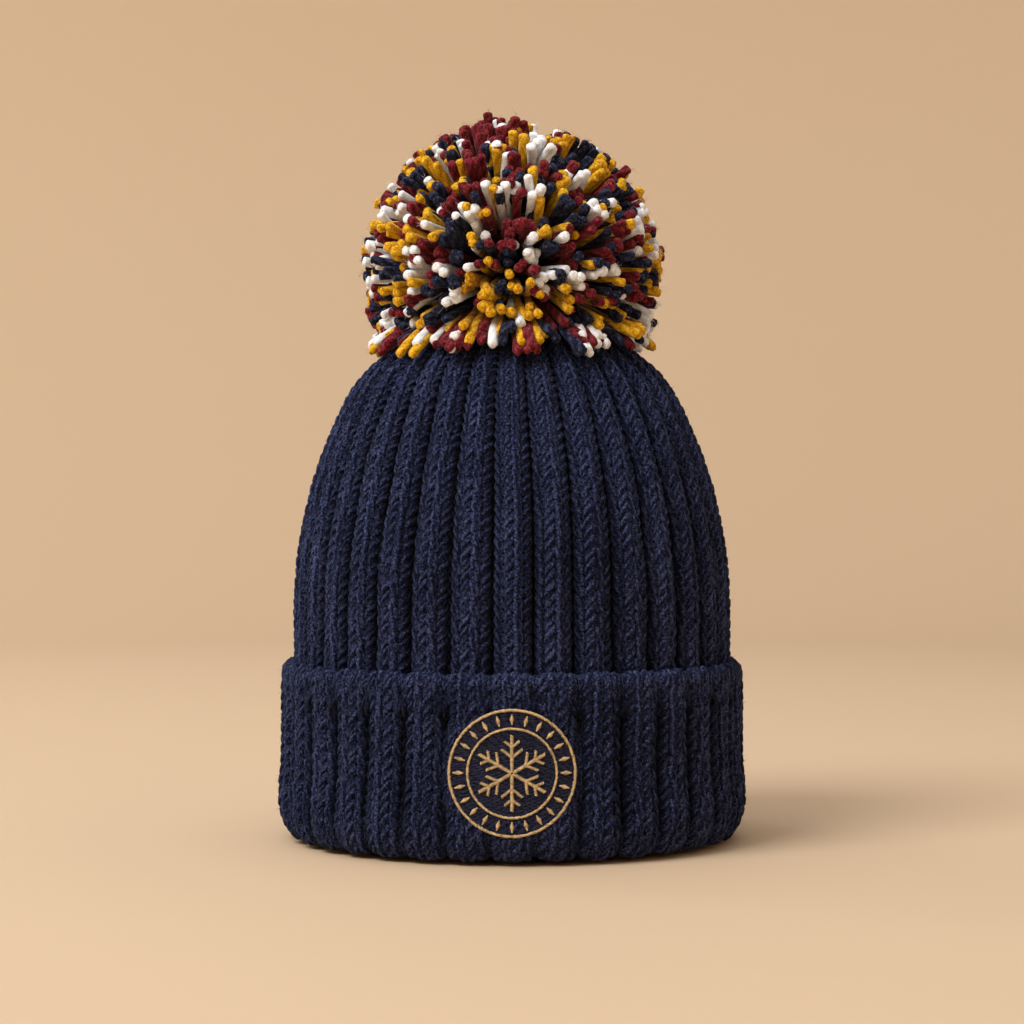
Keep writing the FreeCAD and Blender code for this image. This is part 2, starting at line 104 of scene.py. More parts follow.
CREST_HEIGHT = middle("crest_ground")[2]
CREST_RADIUS = (high("crest_ground")[2] - low("crest_ground")[2]) / 2


# -------- small mathematics


def smooth(x, start=0.0, end=1.0):
    """0 below start, 1 above end, and a soft step between."""
    x = np.clip((x - start) / (end - start), 0.0, 1.0)
    return x * x * (3 - 2 * x)


def unit(vectors):
    return vectors / np.maximum(np.linalg.norm(vectors, axis=-1, keepdims=True), 1e-9)


def rng(seed):
    return np.random.default_rng(seed)


class Waves:
    """Smooth random field over angle and height, closed round the hat."""

    def __init__(self, seed, turns, length, count=14):
        dice = rng(seed)
        self.turns = dice.integers(1, turns + 1, count)
        self.pace = dice.uniform(-1, 1, count) * TAU / length
        self.phase = dice.uniform(0, TAU, count)
        self.size = 1 / math.sqrt(count / 2)

    def __call__(self, angle, height):
        total = 0.0
        for turns, pace, phase in zip(self.turns, self.pace, self.phase):
            total = total + np.sin(turns * angle + pace * height + phase)
        return total * self.size


class Profile:
    """Outline of a layer as (radius, height), measured along its length.

    Its normal points to the right of the way it runs, or to the left where side is -1.
    """

    def __init__(self, points, side=1):
        points = np.asarray(points, float)
        step = np.linalg.norm(np.diff(points, axis=0), axis=1)
        self.along = np.concatenate([[0], np.cumsum(step)])
        self.length = self.along[-1]
        self.points = points
        self.slope = unit(np.gradient(points, self.along, axis=0))
        self.normal = side * np.stack([self.slope[:, 1], -self.slope[:, 0]], axis=1)

    def place(self, along):
        """Point at that distance along the outline, carried on straight past either end."""
        inside = np.clip(along, 0, self.length)
        beyond = along - inside
        spot, step, out = [[np.interp(inside, self.along, column) for column in table.T]
                           for table in (self.points, self.slope, self.normal)]
        return spot[0] + beyond * step[0], spot[1] + beyond * step[1], *out


def curve_points(corners, step=0.5):
    """Smooth outline through a few corners (Catmull-Rom), sampled about every step."""
    corners = np.asarray(corners, float)
    padded = np.vstack([2 * corners[0] - corners[1], corners, 2 * corners[-1] - corners[-2]])
    points = []
    for a, b, c, d in zip(padded, padded[1:], padded[2:], padded[3:]):
        count = max(2, int(np.linalg.norm(c - b) / step))
        t = np.linspace(0, 1, count, endpoint=False)[:, None]
        points.append(0.5 * (2 * b + (c - a) * t + (2 * a - 5 * b + 4 * c - d) * t**2
                             + (3 * b - a - 3 * c + d) * t**3))
    points.append(corners[-1:])
    return np.vstack(points)


def crown_outline(inset, bottom, hole=5.0, side=1):
    """Crown layer's outline from its lower edge to the gathered hole at the top."""
    side_centre = CROWN_RADIUS - SIDE_ARC
    step = SIDE_ARC - SHOULDER_ARC
    shoulder = (side_centre + step * math.cos(SHOULDER_START),
                SIDE_HEIGHT + step * math.sin(SHOULDER_START))
    top_radius = SHOULDER_ARC + shoulder[0] / math.cos(SHOULDER_END) - inset
    top_height = shoulder[1] - shoulder[0] * math.tan(SHOULDER_END)
    last = math.acos(hole / top_radius)
    points = [(CROWN_RADIUS - inset, z) for z in np.arange(bottom, SIDE_HEIGHT, 1.0)]
    for r, z, radius, start, end in (
            (side_centre, SIDE_HEIGHT, SIDE_ARC - inset, 0, SHOULDER_START),
            (*shoulder, SHOULDER_ARC - inset, SHOULDER_START, SHOULDER_END),
            (0.0, top_height, top_radius, SHOULDER_END, last)):
        count = max(3, int(radius * (end - start)))
        for slope in np.linspace(start, end, count, endpoint=False):
            points.append((r + radius * math.cos(slope), z + radius * math.sin(slope)))
    return Profile(points, side)


def circuit(count):
    """Angles of that many equal steps round."""
    return np.linspace(0, TAU, count, endpoint=False)


def lathe(radius, height, angle):
    """Points at those radii, heights and angles round the hat's axis."""
    return np.stack([radius * np.cos(angle), radius * np.sin(angle),
                     np.broadcast_to(height, angle.shape)], axis=-1)


# -------- meshes


def grid(rows, turns):
    """Vertex numbers of a closed band of rows, the same one step further round, and its quads."""
    index = np.arange(rows * turns).reshape(rows, turns)
    after = np.roll(index, -1, axis=1)
    return index, after, np.stack([index[:-1], after[:-1], after[1:], index[1:]], axis=-1)


def add_object(name, data):
    thing = bpy.data.objects.new(name, data)
    bpy.context.scene.collection.objects.link(thing)
    return thing


def write_mesh(name, vertices, quads, caps=None, uv=None):
    """Object from arrays of points and quads of any shape, and caps with one polygon in each row."""
    vertices, quads = vertices.reshape(-1, 3), quads.reshape(-1, 4)
    mesh = bpy.data.meshes.new(name)
    sizes = [np.full(len(quads), 4)]
    loops = [quads.ravel()]
    if caps is not None:
        sizes.append(np.full(len(caps), caps.shape[1]))
        loops.append(caps.ravel())
    sizes, loops = np.concatenate(sizes), np.concatenate(loops)
    mesh.vertices.add(len(vertices))
    mesh.loops.add(len(loops))
    mesh.polygons.add(len(sizes))
    mesh.vertices.foreach_set("co", (vertices * MM).astype(np.float32).ravel())
    mesh.loops.foreach_set("vertex_index", loops.astype(np.int32))
    mesh.polygons.foreach_set("loop_start", (np.cumsum(sizes) - sizes).astype(np.int32))
    mesh.polygons.foreach_set("use_smooth", np.ones(len(sizes), bool))
    if uv is not None:
        layer = mesh.uv_layers.new(name="yarn")
        flat = uv.reshape(-1, 2)
        if caps is not None:
            flat = np.vstack([flat, np.zeros((caps.size, 2))])
        layer.data.foreach_set("uv", flat.astype(np.float32).ravel())
    mesh.update(calc_edges=True)
    return add_object(name, mesh)


def sweep(name, path, side, radius, sides, closed=False, lobes=0, lobe=0.0, twist=0.0, flat=1.0, painted_shade=None):
    """Round or twisted yarns along paths.

    path is (yarns, points, 3), side a direction roughly across each path, radius (yarns, points).
    twist is in turns per millimetre of yarn, and flat the yarn's depth over its width.
    the painted shade, one value for each point of the path, darkens the wool down in the gaps.
    """
    if closed:
        following = np.roll(path, -1, axis=1)
        tangent = unit(following - np.roll(path, 1, axis=1))
        step = np.linalg.norm(following - path, axis=2)
    else:
        tangent = unit(np.gradient(path, axis=1))
        step = np.linalg.norm(np.diff(path, axis=1), axis=2)
    run = np.concatenate([np.zeros((len(path), 1)), np.cumsum(step, axis=1)], axis=1)
    out = unit(side - (side * tangent).sum(-1, keepdims=True) * tangent)
    across = np.cross(tangent, out)
    yarns, points = path.shape[:2]
    turn = TAU * np.arange(sides) / sides
    shape = 1 + lobe * np.cos(lobes * (turn[None, None] - TAU * twist * run[:, :points, None]))
    reach = radius[..., None] * shape
    vertices = (path[:, :, None] + (reach * np.cos(turn) * flat)[..., None] * out[:, :, None]
                + (reach * np.sin(turn))[..., None] * across[:, :, None])
    index = np.arange(yarns * points * sides).reshape(yarns, points, sides)
    here, after = (index, np.roll(index, -1, axis=1)) if closed else (index[:, :-1], index[:, 1:])
    quads = np.stack([here, np.roll(here, -1, axis=2), np.roll(after, -1, axis=2), after], axis=-1)
    spans = here.shape[1]
    v = np.arange(sides) / sides
    uv = np.zeros(quads.shape + (2,))
    uv[..., 0, 0] = uv[..., 1, 0] = run[:, :spans, None]
    uv[..., 2, 0] = uv[..., 3, 0] = run[:, 1:spans + 1, None]
    uv[..., 0, 1] = uv[..., 3, 1] = v
    uv[..., 1, 1] = uv[..., 2, 1] = v + 1 / sides
    caps = None if closed else np.concatenate([index[:, 0, ::-1], index[:, -1]])
    piece = write_mesh(name, vertices, quads, caps, uv)
    if painted_shade is not None:
        shade(piece, np.repeat(painted_shade.ravel(), sides))
    return piece


def shade(piece, painted_shade):
    """Keeps a painted shade for each vertex: a lightness which the wool's material multiplies its colour by.
    """
    layer = piece.data.attributes.new("painted_shade", "FLOAT", "POINT")
    layer.data.foreach_set("value", painted_shade.astype(np.float32))


# -------- knitting


class Rib:
    """Yarn of one row across one rib: a purl stitch in the groove, then two knit stitches.

    across runs from 0 to 1 over the rib, up is in rows and depth from -1, behind, to 1, in front.
    """

    LEAN = 0.24  # how far a knit loop leans over its neighbours
    REACH = 0.95  # height of a loop either way, in rows

    def __init__(self, groove=0.18):
        wale = (1 - groove) / 2
        self.centre = groove + wale
        parts = []
        for start, width, points, front, begins, ends in (
                (0.0, groove, 6, 1, True, True), (groove, wale, 14, -1, True, False),
                (groove + wale, wale, 14, -1, False, True)):
            t = TAU * np.arange(points) / points
            bend = self.LEAN * (0.5 if front == 1 else 1)
            ease = smooth(t / (math.pi / 2)) if begins else 1.0
            ease = ease * (smooth((TAU - t) / (math.pi / 2)) if ends else 1.0)
            parts.append((start + width * (t / TAU + bend * np.sin(2 * t)), -self.REACH * np.cos(t),
                          front * np.cos(2 * t) * ease))
        self.across, self.up, self.depth = [np.concatenate(part) for part in zip(*parts)]


class Fabric:
    """A ribbed layer: where each row of yarn runs over an outline.

    depth is the groove's, and press says where the knit is flattened and sunk.
    """

    BULGE = 0.95  # how far the loops stand out and sink in
    WANDER = 0.35  # how far the ribs stray sideways
    UNEVEN = 0.12  # share by which grooves and loops vary
    FULL_RIB = 16.0  # width of a rib whose yarn has its whole thickness; narrower ribs pinch it
    GROOVE_SHADE = 0.88  # painted shade: how much darker the wool is painted at the bottom of a groove
    STRIDE = 5  # points of yarn for each random number

    def __init__(self, outline, rib, seed, depth=3.9, press=None):
        self.outline = outline
        self.rib = rib
        self.depth = depth
        self.press = press
        self.seed = seed
        self.sway = Waves(seed, turns=11, length=90)
        self.swell = Waves(seed + 1, turns=17, length=40)

    def rows(self, first, count):
        """Path, outward direction, thickness and painted shade of rows of yarn, from the outline's start."""
        rib = self.rib
        across = (np.arange(RIBS)[:, None] + rib.across[None]).ravel()
        from_centre = np.tile((rib.across - rib.centre) / (1 - rib.centre), RIBS)
        up = np.tile(rib.up, RIBS)
        depth = np.tile(rib.depth, RIBS)
        dice = rng(self.seed * 1000 + first)
        row = np.arange(first, first + count)[:, None]
        loose = dice.normal(0, 1, (3, count, across.size // self.STRIDE + 2))
        spread = np.linspace(0, across.size // self.STRIDE, across.size)
        jitter = np.apply_along_axis(lambda line: np.interp(spread, np.arange(line.size), line), 2, loose)
        along = (row + 0.5 + up[None] * (1 + 0.04 * jitter[0]) + 0.03 * jitter[1]) * COURSE
        angle = TAU * (across[None] - rib.centre) / RIBS + FRONT + 0 * along
        radius, height, out_r, out_z = self.outline.place(along)
        angle = angle + self.sway(angle, along) * self.WANDER / np.maximum(radius, 20)
        pitch = TAU * radius / RIBS
        pinch = np.clip(pitch / self.FULL_RIB, 0.3, 1.0)
        groove = self.depth * (1 + self.UNEVEN * self.swell(angle, along))
        flat = sunk = np.zeros_like(along)
        if self.press is not None:
            flat, sunk = self.press(angle, radius, height)
        groove = groove * (1 - 0.93 * flat)
        s = np.clip(np.abs(from_centre), 0, 1)[None]
        fall = -groove * s**ROUNDING
        half = pitch * (1 - rib.centre)
        slope = -groove * ROUNDING * s**(ROUNDING - 1) / half * np.sign(from_centre)[None]
        level = np.sqrt(1 + slope**2)
        lift = self.BULGE * (1 - 0.6 * flat) * (depth[None] + self.UNEVEN * jitter[2])
        offset = fall + lift / level - sunk
        sideways = -lift * slope / level
        radius, height = radius + out_r * offset, height + out_z * offset
        angle = angle + sideways / np.maximum(radius, 8)
        path = lathe(radius, height, angle)
        around = np.stack([-np.sin(angle), np.cos(angle), 0 * angle], axis=-1)
        out = unit(lathe(out_r, out_z, angle) - around * slope[..., None])
        thick = YARN * (0.55 + 0.45 * pinch) * (1 + 0.05 * jitter[1])
        # painted shade: darker wool towards the bottom of each groove, less where the knit is pressed flat
        painted_shade = 1 - self.GROOVE_SHADE * smooth(s, 0.55, 0.95) * (1 - flat)
        return path, out, thick, painted_shade


def knit(name, fabric, first, count, node):
    """Knits rows of a fabric as a few pieces, each a band of rows."""
    bands = math.ceil(count / BAND)
    for band in range(bands):
        start = first + band * BAND
        path, out, thick, painted_shade = fabric.rows(start, min(BAND, first + count - start))
        label = f"{name}_{band + 1:02d}" if bands > 1 else name
        piece = sweep(label, path, out, thick, 11, closed=True, lobes=PLIES, lobe=0.08, twist=TWIST,
                      flat=0.92, painted_shade=painted_shade)
        finish_piece(piece, "hat", node, "knit_navy", NAVY_WOOL)


def knit_fuzz(name, fabric, first, rows, count, seed, node):
    """Loose fibres over some rows of a fabric."""
    path, out, thick, _ = fabric.rows(first, rows)
    hairs(name, path, out, thick, count, KNIT_HAIR, seed, "hat", node, "knit_navy", NAVY_WOOL)


def hairs(name, path, out, radius, count, longest, seed, body, node, slot, material):
    """Loose fibres standing off yarns: thin bent hairs rooted in their surface."""
    dice = rng(seed)
    yarn = dice.integers(0, path.shape[0], count)
    spot = dice.integers(0, path.shape[1], count)
    outward = unit(out[yarn, spot] + dice.normal(0, 0.35, (count, 3)))
    root = path[yarn, spot] + outward * radius[yarn, spot][:, None] * 0.7
    along = unit(outward * 0.75 + dice.normal(0, 0.6, (count, 3)))
    bend = dice.normal(0, 0.35, (count, 3))
    length = longest * dice.uniform(0.35, 1, count)[:, None, None]
    t = np.linspace(0, 1, len(HAIR_TAPER))[None, :, None]
    line = root[:, None] + length * (along[:, None] * t + bend[:, None] * t**2)
    thick = HAIR * HAIR_TAPER[None] * dice.uniform(0.7, 1.2, (count, 1))
    piece = sweep(name, line, np.cross(along, bend)[:, None], thick, 3, painted_shade=np.ones(thick.shape))
    finish_piece(piece, body, node, slot, material)


def finish_piece(piece, body, node, slot, material):
    """What every piece gets: its material, the body it rides on, and its CAD node hidden; the slot for its
    finish is not used.
    """
    piece.data.materials.append(material)
    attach(piece, body)
    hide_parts(node)
    return piece


# -------- materials


class Nodes:
    """Short way to write a material's node tree."""

    def __init__(self, name):
        self.material = bpy.data.materials.new(name)
        self.material.use_nodes = True
        self.tree = self.material.node_tree
        self.shader = self.tree.nodes["Principled BSDF"]

    def add(self, kind, settings=None, **inputs):
        node = self.tree.nodes.new("ShaderNode" + kind)
        for key, setting in (settings or {}).items():
            setattr(node, key, setting)
        for key, given in inputs.items():
            self.plug(node, key.replace("_", " "), given)
        return node

    def plug(self, node, key, given):
        socket = node.inputs[int(key[1:]) if key[1:].isdigit() else key]
        if isinstance(given, bpy.types.NodeSocket):
            self.tree.links.new(given, socket)
        else:
            socket.default_value = given

    def math(self, operation, first, second=0.0):
        return self.add("Math", {"operation": operation}, i0=first, i1=second).outputs[0]

    def ramp(self, factor, stops):
        node = self.add("ValToRGB", Fac=factor)
        elements = node.color_ramp.elements
        while len(elements) < len(stops):
            elements.new(0.5)
        for element, (place, colour) in zip(elements, stops):
            element.position = place
            element.color = (*colour, 1)
        return node.outputs["Color"]

    def mix(self, *parts):
        """Sum of values, each given with its share."""
        total = None
        for value, share in parts:
            part = self.math("MULTIPLY", value, share)
            total = part if total is None else self.math("ADD", total, part)
        return total

    def yarn(self):
        """Millimetres along the yarn and turns round it, from the mesh's UV map."""
        uv = self.add("UVMap", {"uv_map": "yarn"}).outputs["UV"]
        split = self.add("SeparateXYZ", Vector=uv)
        return split.outputs[0], split.outputs[1]

    def place(self):
        return self.add("TexCoord").outputs["Object"]

    def noise(self, place, scale, detail, dimensions="3D"):
        return self.add("TexNoise", {"noise_dimensions": dimensions}, Vector=place, Scale=scale,
                        Detail=detail).outputs["Fac"]

    def streaks(self, run, turn, detail):
        """Noise over the yarn's own two coordinates, scaled beforehand to draw it out."""
        place = self.add("CombineXYZ", i0=run, i1=turn).outputs[0]
        return self.noise(place, 1.0, detail, "2D")

    def wave(self, place, direction, scale, distortion, **more):
        return self.add("TexWave", {"bands_direction": direction}, Vector=place, Scale=scale,
                        Distortion=distortion, **more).outputs["Fac"]

    def surface(self, colour, height, strength, distance, **settings):
        """Plugs in the colour, a bump from the height and the shader's own settings."""
        bump = self.add("Bump", Height=height, Strength=strength, Distance=distance)
        self.plug(self.shader, "Base Color", colour)
        self.plug(self.shader, "Normal", bump.outputs["Normal"])
        for key, setting in settings.items():
            self.plug(self.shader, key.replace("_", " "), setting)
        return self.material


def yarn_material(name, dark, mid, light, sheen=0.12, sheen_tint=(1, 1, 1), fibre=0.55):
    """Spun wool: plies and fibres along the twist, uneven dye, painted shade in the creases between plies and
    from each vertex's painted shade value, and a soft sheen.
    """
    n = Nodes(name)
    run, turn = n.yarn()
    place = n.place()
    wound = n.mix((run, -TWIST), (turn, 1.0))
    fibres = n.streaks(n.math("MULTIPLY", run, 1.3), n.math("MULTIPLY", wound, 30.0), 3.0)
    speckle, broad, fuzz = n.noise(place, 1300.0, 4.0), n.noise(place, 38.0, 2.0), n.noise(place, 2600.0, 2.0)
    ply = n.math("SINE", n.math("MULTIPLY", wound, TAU * PLIES))
    # painted shade: the colour darkens in the creases between the plies
    ply_crease_shade = n.math("SUBTRACT", ply, 1.0)
    blend = n.mix((fibres, 0.38), (speckle, 0.5), (broad, 0.12), (ply_crease_shade, 0.055))
    colour = n.ramp(blend, [(0.36, dark), (0.47, mid), (0.61, light)])
    # painted shade: the colour is multiplied by each vertex's painted shade value, dark down in the gaps
    painted_shade = n.add("Attribute", {"attribute_name": "painted_shade"}).outputs["Fac"]
    shaded = n.add("VectorMath", {"operation": "SCALE"}, Vector=colour, Scale=painted_shade)
    height = n.mix((ply, 0.3), (fibres, 1.0), (fuzz, 0.5))
    return n.surface(shaded.outputs["Vector"], height, fibre, 0.0007, Roughness=0.95, Sheen_Weight=sheen,
                     Sheen_Roughness=0.4, Sheen_Tint=(*sheen_tint, 1), Specular_IOR_Level=0.06)


NAVY_WOOL = yarn_material(
    "navy_wool", (0.0014, 0.0022, 0.0085), (0.0140, 0.0190, 0.0560), (0.082, 0.104, 0.235),
    sheen=0.10, sheen_tint=(0.42, 0.55, 1.0), fibre=0.65)
NAVY_STRAND = yarn_material(
    "navy_strand", (0.004, 0.005, 0.013), (0.017, 0.020, 0.046), (0.080, 0.092, 0.17),
    0.1, (0.5, 0.6, 0.95), 0.6)
BURGUNDY_STRAND = yarn_material(
    "burgundy_strand", (0.045, 0.004, 0.007), (0.155, 0.014, 0.022), (0.35, 0.055, 0.07),
    0.2, (1, 0.5, 0.5), 0.6)
GOLD_STRAND = yarn_material(
    "gold_strand", (0.40, 0.17, 0.006), (0.74, 0.41, 0.015), (0.93, 0.62, 0.05),
    0.2, (1, 0.9, 0.6), 0.6)
WHITE_STRAND = yarn_material(
    "white_strand", (0.66, 0.69, 0.74), (0.88, 0.92, 0.98), (0.94, 0.97, 1.0), sheen=0.3, fibre=0.5)
# painted shade: near-black wool for the pom's packed middle, standing for the shade deep between strands
HEART_SHADE_WOOL = yarn_material("heart_shade_wool", (0.004, 0.003, 0.004), (0.010, 0.007, 0.009), (0.022, 0.014, 0.016))
CORD_WOOL = yarn_material("cord_wool", (0.004, 0.005, 0.011), (0.012, 0.014, 0.030), (0.036, 0.040, 0.072))


def thread_material(name, dark, light, roughness, sheen, specular=0.6):
    """Viscose embroidery thread, with its filaments along the stitch."""
    n = Nodes(name)
    run, turn = n.yarn()
    twisted = n.mix((run, 0.5), (turn, 1.0))
    filaments = n.streaks(n.math("MULTIPLY", run, 0.4), n.math("MULTIPLY", twisted, 12.0), 2.0)
    stitches = n.noise(n.place(), 900.0, 2.0)
    colour = n.ramp(n.mix((filaments, 0.5), (stitches, 0.5)), [(0.35, dark), (0.65, light)])
    return n.surface(colour, filaments, 0.4, 0.0002, Roughness=roughness, Sheen_Weight=sheen,
                     Specular_IOR_Level=specular)


GOLD_THREAD = thread_material("gold_thread", (0.20, 0.115, 0.040), (0.86, 0.65, 0.34), 0.33, sheen=0.1)
NAVY_THREAD = thread_material("navy_thread", (0.0022, 0.0028, 0.0085), (0.030, 0.034, 0.075), 0.9, sheen=0.05,
                              specular=0.08)


def lining_material():
    """Fine knit seen as small V stitches, for the layers inside the hat, with painted shade in the stitches'
    low relief.
    """
    n = Nodes("lining_stitches")
    across, up = n.yarn()
    wale = n.math("ABSOLUTE", n.math("SUBTRACT", n.math("FRACT", across), 0.5))
    rows = n.mix((wale, -1.1), (up, 1.0))
    stitch = n.math("SINE", n.math("MULTIPLY", rows, TAU))
    legs = n.math("SINE", n.math("MULTIPLY", wale, TAU))
    height = n.mix((stitch, 0.5), (legs, 0.7), (n.noise(n.place(), 1400.0, 3.0), 0.6))
    # painted shade: the colour darkens where the stitch relief is low
    level = n.math("ADD", n.math("MULTIPLY", height, 0.3), 0.4)
    colour = n.ramp(level, [(0.1, (0.003, 0.004, 0.009)), (0.6, (0.011, 0.013, 0.030)),
                            (1.0, (0.032, 0.037, 0.07))])
    return n.surface(colour, height, 0.8, 0.0008, Roughness=0.95, Specular_IOR_Level=0.1)


def cloth_material(name, dark, light, scale, roughness, strength):
    """Woven or felted cloth: crossing threads and a fine uneven colour."""
    n = Nodes(name)
    place = n.place()
    weave = n.math("MULTIPLY", n.wave(place, "Z", scale, 0.6), n.wave(place, "X", scale * 1.3, 0.6))
    blend = n.mix((weave, 0.5), (n.noise(place, scale * 4, 4.0), 0.5))
    colour = n.ramp(blend, [(0.2, dark), (0.7, light)])
    return n.surface(colour, blend, strength, 0.0002, Roughness=roughness, Sheen_Weight=0.2)


def button_material():
    """Dark moulded button with faint horn-like streaks."""
    n = Nodes("button_horn")
    place = n.place()
    streaks = n.wave(place, "DIAGONAL", 90.0, 7.0, Detail=3.0)
    colour = n.ramp(streaks, [(0.2, (0.010, 0.011, 0.02)), (0.9, (0.05, 0.05, 0.075))])
    scratches = n.noise(place, 700.0, 3.0)
    roughness = n.math("ADD", n.math("MULTIPLY", scratches, 0.2), 0.22)
    return n.surface(colour, scratches, 0.15, 0.0001, Roughness=roughness)


LINING_KNIT = lining_material()
SATIN = cloth_material("label_satin", (0.62, 0.60, 0.55), (0.86, 0.84, 0.80), 900.0, 0.32, 0.25)
FELT = cloth_material("backing_felt", (0.55, 0.54, 0.50), (0.80, 0.79, 0.75), 500.0, 0.95, 0.6)
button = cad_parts["backing_button"].data.materials
button.clear()
button.append(button_material())


# -------- hat


def cuff_outline():
    """From inside the cuff, over its rolled top, down the front and round the brim fold."""
    wall = CUFF_RADIUS - 2.0
    inner = CROWN_RADIUS + 0.8
    top = CUFF_TOP - 2.6
    corners = [
        (inner, top - 13), (inner, top - 5), (inner + 0.4, top - 1.6), ((wall + inner) / 2, top),
        (wall - 0.3, top - 1.8), (wall, top - 6), (wall - 0.1, top - 22), (wall, 32), (wall + 0.9, 20),
        (wall + 0.8, 12.5), (wall - 1.6, 5.6), (wall - 5, 2.9), (wall - 8, 5.2), (wall - 8.6, 11),
    ]
    return Profile(curve_points(corners), side=-1)


def cuff_press(angle, radius, height):
    """How much the cuff's knit is flattened, and sunk: at the crest, the rolled top and the fold."""
    turn = np.mod(angle - FRONT + math.pi, TAU) - math.pi
    distance = np.hypot(turn * CUFF_RADIUS, height - CREST_HEIGHT)
    front = (radius > CROWN_RADIUS + 2) * 1.0
    near = (1 - smooth(distance, CREST_RADIUS - 1.5, CREST_RADIUS + 9)) * front
    rolled = 0.85 * smooth(height, CUFF_TOP - 17, CUFF_TOP - 6)
    folded = 0.55 * smooth(-height, -20, -5)
    sunk = 0.4 * (1 - smooth(distance, CREST_RADIUS - 1, CREST_RADIUS + 3)) * front
    return np.maximum(np.maximum(near, rolled), folded), sunk


def make_crown():
    """Knit of the crown, from behind the cuff's top to the drawn-up hole."""
    outline = crown_outline(inset=1.0, bottom=CUFF_TOP - 6.0)
    fabric = Fabric(outline, Rib(), seed=3)
    rows = int(outline.length / COURSE)
    knit("crown_knit", fabric, 0, rows, "crown_outer")
    knit_fuzz("crown_fuzz", fabric, 0, rows, count=10000, seed=51, node="crown_outer")


def make_cuff():
    """Knit of the cuff and of the fold at the brim, as one length of fabric."""
    outline = cuff_outline()
    fabric = Fabric(outline, Rib(groove=0.15), seed=11, depth=3.2, press=cuff_press)
    rows = int(outline.length / COURSE)
    fold_rows, inner_rows = 4, 4
    knit("cuff_knit", fabric, 0, rows - fold_rows, "cuff_outer")
    knit("brim_knit", fabric, rows - fold_rows, fold_rows, "brim_fold")
    outer_rows = rows - fold_rows - inner_rows
    knit_fuzz("cuff_fuzz", fabric, inner_rows, outer_rows, count=8000, seed=52, node="cuff_outer")


make_crown()
make_cuff()


# -------- pom


def sphere_points(count, seed):
    """Evenly scattered directions, down to the lowest elevation, with some jitter."""
    dice = rng(seed)
    number = np.arange(count)
    level = 1 - (number + 0.5) / count * (1 - math.sin(LOWEST))
    turn = number * math.pi * (3 - math.sqrt(5))
    spots = lathe(np.sqrt(1 - level**2), level, turn)
    return unit(spots + dice.normal(0, 0.022, spots.shape))


CROWN_TOP = crown_outline(inset=0.0, bottom=120.0, hole=0.5)


def clear_of_crown(path, gap):
    """Pushes points out of the crown, so that low strands drape over it."""
    radius = np.hypot(path[..., 0], path[..., 1])
    spots = CROWN_TOP.points[::2]
    normals = CROWN_TOP.normal[::2]
    flat = np.stack([radius.ravel(), path[..., 2].ravel()], axis=1)
    nearest = np.concatenate([
        np.argmin(((part[:, None] - spots[None]) ** 2).sum(-1), axis=1)
        for part in np.array_split(flat, max(1, len(flat) // 4000))
    ])
    signed = ((flat - spots[nearest]) * normals[nearest]).sum(1)
    need = np.maximum(gap.ravel() - signed, 0)
    moved = flat + normals[nearest] * need[:, None]
    scale = moved[:, 0].reshape(radius.shape) / np.maximum(radius, 1e-6)
    return np.stack([path[..., 0] * scale, path[..., 1] * scale, moved[:, 1].reshape(radius.shape)], axis=-1)


def reach_above_crown(aim):
    """How far from its centre a strand can go before it meets the crown, with room for the pom to tilt."""
    nearest, farthest, gap = 12.0, 90.0, 1.5
    distance = np.arange(nearest, farthest, 0.5)[None]
    level = np.hypot(aim[:, 0], aim[:, 1])
    surface = np.interp(distance * level[:, None], CROWN_TOP.points[::-1, 0], CROWN_TOP.points[::-1, 1])
    below = POM_CENTRE[2] + distance * aim[:, 2:] < surface
    free = np.where(below.any(axis=1), distance[0, np.argmax(below, axis=1)], farthest)
    return free - STRAND - gap - TILT * free * level


TUFT = unit(np.array([-0.10, -0.12, 1.0]))  # a burgundy tuft stands up beside the top
TUFT_EDGE = math.cos(math.radians(8))
STRANDS = 2400
CLUMPS = 900
COLOURS = {
    "navy": (NAVY_STRAND, 0.22), "burgundy": (BURGUNDY_STRAND, 0.33),
    "gold": (GOLD_STRAND, 0.23), "white": (WHITE_STRAND, 0.22),
}
LOWEST = math.radians(-60)  # elevation of the lowest strands
HIDDEN = -math.sin(math.radians(42))  # strands below this are cut short, clear of the crown
STRAYS = 0.12  # share of strands that are not of their clump's colour
GATHER = 0.22  # how far a strand leans towards its clump's middle
CLUMP_TRIM = 3.6  # spread of the clumps' and of the strands' lengths
STRAND_TRIM = 1.6
SHORT = 0.10  # shares of strands that are cut short and left long
LONG = 0.04
HOOKED = 0.2  # share of strands whose tips curl
ROOT = 8.0  # where the strands start from the pom's centre
POINTS = 11  # points along a strand, before its rounded tip
TIP_REACH = np.array([0.5, 0.95, 1.25])
TIP_WIDTH = np.array([1.0, 0.8, 0.4])
CROWN_GAP = 2.8  # room kept between a strand and the crown


def mixed_colours(clumps, chances, dice):
    """A colour for each clump, seldom the same as its nearest neighbour's."""
    colour = dice.choice(len(chances), len(clumps), p=chances)
    near = clumps @ clumps.T - 2 * np.eye(len(clumps))
    for number, neighbours in enumerate(np.argsort(-near, axis=1)[:, :3]):
        if np.any(colour[neighbours] == colour[number]):
            colour[number] = dice.choice(len(chances), p=chances)
    return colour


